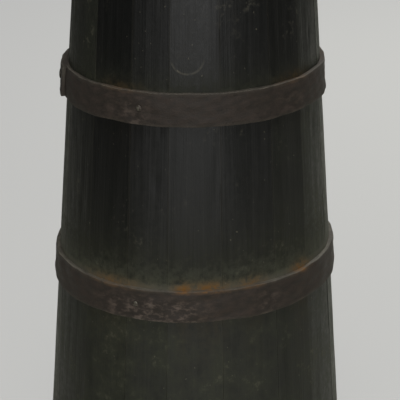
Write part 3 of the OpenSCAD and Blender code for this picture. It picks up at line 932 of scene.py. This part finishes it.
class CHURN_OT_staves(bpy.types.Operator):
    """Builds the sixteen painted staves"""

    bl_idname = "churn.staves"
    bl_label = "Staves"

    def execute(self, context):
        sizes, colours = context.scene.churn_sizes, context.scene.churn_colours
        inside = weathered_wood("milk_stained_pine", colours.milk_wood, colours.milk_stain, "z", 0.7)
        finishes = [old_black_paint(colours), inside]
        columns = sizes.stave_columns
        shares = zip(STAVES, DUST_AND_SHEEN_ABOVE, DUST_AND_SHEEN_BETWEEN, DUST_AND_SHEEN_BELOW, STAVE_GLOSS, strict=True)
        bloom_and_sheen_at, bloom_and_sheen = np.array(BLOOM_AND_SHEEN).T
        upper, lower = (sum(measure_hoop(node)[:2]) / 2 for node in ("upper_hoop", "lower_hoop"))
        for number, (node, above, between, below, gloss) in enumerate(shares):
            points, uv, edge, settled_dust_and_corner_light, stain = stave_skin(node, sizes, np.random.default_rng(SEED + number))
            rows = len(points)
            uv[..., 0] += GRAIN_STEP * number
            sides = grid_faces(rows, 2 * columns)
            ends = np.arange(columns - 1)
            foot = np.stack([ends, ends + 1, 2 * columns - 2 - ends, 2 * columns - 1 - ends], -1)
            faces = np.vstack([sides, foot, foot + (rows - 1) * 2 * columns])
            # Paint on the face and the joints, bare wood on the inside and the ends
            face_finish = np.ones(len(faces))
            column = np.arange(len(sides)) % (2 * columns)
            face_finish[:len(sides)] = (column >= columns) & (column < 2 * columns - 1)
            # The inside counts as far from any edge, and free of dust, of painted corner light and of rust
            marks = {
                "edge": np.concatenate([edge, np.full_like(edge, 20 * MM)], 1),
                # Dry paint with dust on each stave, partly a painted reflection and sheen
                "dust_and_sheen_share": np.select([points[..., 2] > upper, points[..., 2] > lower], [above, between], below),
                "gloss": np.full(points.shape[:2], gloss),
                # Bloom round the wall, partly a painted sheen on the front staves
                "bloom_and_sheen": np.interp(polar(points.reshape(-1, 3))[0], np.radians(bloom_and_sheen_at), bloom_and_sheen, period=TURN),
                "settled_dust_and_corner_light": np.concatenate([settled_dust_and_corner_light, np.zeros_like(settled_dust_and_corner_light)], 1),
                "stain": np.concatenate([stain, np.zeros_like(stain)], 1),
            }
            make_piece("painted_" + node, points, faces, "vessel", node, finishes, uv, marks,
                       face_finish)
        return {"FINISHED"}


class CHURN_OT_hoops(bpy.types.Operator):
    """Builds the four lapped iron hoops"""

    bl_idname = "churn.hoops"
    bl_label = "Hoops"

    def execute(self, context):
        sizes, colours = context.scene.churn_sizes, context.scene.churn_colours
        finish = rusted_strap_iron(colours)
        for number, node in enumerate(HOOPS):
            points, uv, marks = hoop_skin(node, sizes, np.random.default_rng(SEED + 100 + number))
            faces = tube_faces(*points.shape[:2])
            make_piece("strap_" + node, points, faces, "vessel", node, [finish], uv, marks)
        return {"FINISHED"}


class CHURN_OT_fasteners(bpy.types.Operator):
    """Builds the hammered rivets and nails"""

    bl_idname = "churn.fasteners"
    bl_label = "Rivets and Nails"

    def execute(self, context):
        finish = hammered_heads(context.scene.churn_colours)
        # Each node with its body and a length that reaches over one nail and not to the next
        kinds = (("hoop_rivets", "vessel", 15 * MM), ("hoop_nails", "vessel", 15 * MM),
                 ("lid_nails", "lid", 30 * MM))
        for number, (node, body, reach) in enumerate(kinds):
            rng = np.random.default_rng(SEED + 500 + number)
            nails = apart(node_points(node), reach)
            middles = np.array([nail.mean(0) for nail in nails])
            up = np.tile((0.0, 0.0, 1.0), (len(nails), 1))
            out = around(polar(middles)[0], 1, TAPER) if body == "vessel" else up
            axes = out / np.linalg.norm(out, axis=1)[:, None]
            skins = np.stack([nail_skin(nail, axis, rng) for nail, axis in zip(nails, axes, strict=True)])
            rows, columns = skins.shape[1:3]
            starts = np.arange(len(nails)) * rows * columns
            faces = [face + start for start in starts for face in tube_faces(rows, columns)]
            make_piece("hammered_" + node, skins, faces, body, node, [finish])
        return {"FINISHED"}


class CHURN_OT_bottom(bpy.types.Operator):
    """Finishes the bottom's boards and dowels"""

    bl_idname = "churn.bottom"
    bl_label = "Bottom"

    def execute(self, context):
        colours = context.scene.churn_colours
        finish = weathered_wood("soaked_pine_boards", colours.milk_wood, colours.milk_stain, "x", 0.75)
        for node in ("bottom_board_front", "bottom_board_middle", "bottom_board_back", "bottom_dowels"):
            dress(node, finish)
        return {"FINISHED"}


class CHURN_OT_lid(bpy.types.Operator):
    """Builds the lid's painted board and finishes its plug"""

    bl_idname = "churn.lid"
    bl_label = "Lid"

    def execute(self, context):
        sizes, colours = context.scene.churn_sizes, context.scene.churn_colours
        outline, rim_r, recess_r, top = lid_outline()
        rng = np.random.default_rng(SEED + 200)
        points, faces = lathe(outline, rng, sizes, segments=128, still_r=recess_r + MM, closed=True)
        finish = worn_lid_paint(colours, rim_r, recess_r, top)
        make_piece("worn_lid_top", points, faces, "lid", "lid_top", [finish])
        plug = weathered_wood("soaked_pine_plug", colours.milk_wood, colours.milk_stain, "y", 0.75)
        dress("lid_plug", plug)
        return {"FINISHED"}


class CHURN_OT_cup(bpy.types.Operator):
    """Builds the turned splash cup"""

    bl_idname = "churn.cup"
    bl_label = "Splash Cup"

    def execute(self, context):
        sizes, colours = context.scene.churn_sizes, context.scene.churn_colours
        rng, seat_r = np.random.default_rng(SEED + 300), lid_outline()[2]
        points, faces = lathe(cup_outline(), rng, sizes, segments=96, still_r=seat_r, closed=True)
        finish = weathered_wood("turned_maple", colours.staff_wood, colours.staff_grain, "z", 0.55)
        make_piece("turned_splash_cup", points, faces, "cup", "splash_cup", [finish])
        return {"FINISHED"}


class CHURN_OT_dasher(bpy.types.Operator):
    """Builds the dasher's staff and finishes its cross and peg"""

    bl_idname = "churn.dasher"
    bl_label = "Dasher"

    def execute(self, context):
        sizes, colours = context.scene.churn_sizes, context.scene.churn_colours
        rng = np.random.default_rng(SEED + 400)
        points, faces = lathe(staff_outline(), rng, sizes, segments=64, still_r=0, closed=False)
        finish = weathered_wood("handled_ash_staff", colours.staff_wood, colours.staff_grain, "z", 0.5)
        make_piece("handled_dasher_staff", points, faces, "dasher", "dasher_staff", [finish])
        for node, grain in (("dasher_blade_lower", "x"), ("dasher_blade_upper", "y")):
            slat = weathered_wood("soaked_slat_" + grain, colours.milk_wood, colours.milk_stain, grain, 0.7)
            dress(node, slat)
        dress("dasher_peg", finish)
        return {"FINISHED"}


class CHURN_PT_sidebar(bpy.types.Panel):
    """Lists the churn's settings and the steps that build it"""

    bl_idname = "CHURN_PT_sidebar"
    bl_label = "Butter Churn"
    bl_space_type = "VIEW_3D"
    bl_region_type = "UI"
    bl_category = "Churn"

    def draw(self, context):
        for operator in OPERATORS:
            self.layout.operator(operator.bl_idname)
        for settings in (getattr(context.scene, group) for group in SETTINGS):
            for name in settings.bl_rna.properties.keys():
                if name not in ("rna_type", "name"):
                    self.layout.prop(settings, name)


OPERATORS = (CHURN_OT_stage, CHURN_OT_staves, CHURN_OT_hoops, CHURN_OT_fasteners, CHURN_OT_bottom,
             CHURN_OT_lid, CHURN_OT_cup, CHURN_OT_dasher)
SETTINGS = {"churn_sizes": ChurnSizes, "churn_colours": ChurnColours, "churn_studio": ChurnStudio}


def register():
    for item in (*SETTINGS.values(), *OPERATORS, CHURN_PT_sidebar):
        bpy.utils.register_class(item)
    for name, group in SETTINGS.items():
        setattr(bpy.types.Scene, name, bpy.props.PointerProperty(type=group))


def unregister():
    for name in SETTINGS:
        delattr(bpy.types.Scene, name)
    for item in (CHURN_PT_sidebar, *OPERATORS[::-1], *SETTINGS.values()):
        bpy.utils.unregister_class(item)


def main():
    register()
    bpy.ops.churn.stage()
    bpy.ops.churn.staves()
    bpy.ops.churn.hoops()
    bpy.ops.churn.fasteners()
    bpy.ops.churn.bottom()
    bpy.ops.churn.lid()
    bpy.ops.churn.cup()
    bpy.ops.churn.dasher()


if __name__ == "__main__":
    main()
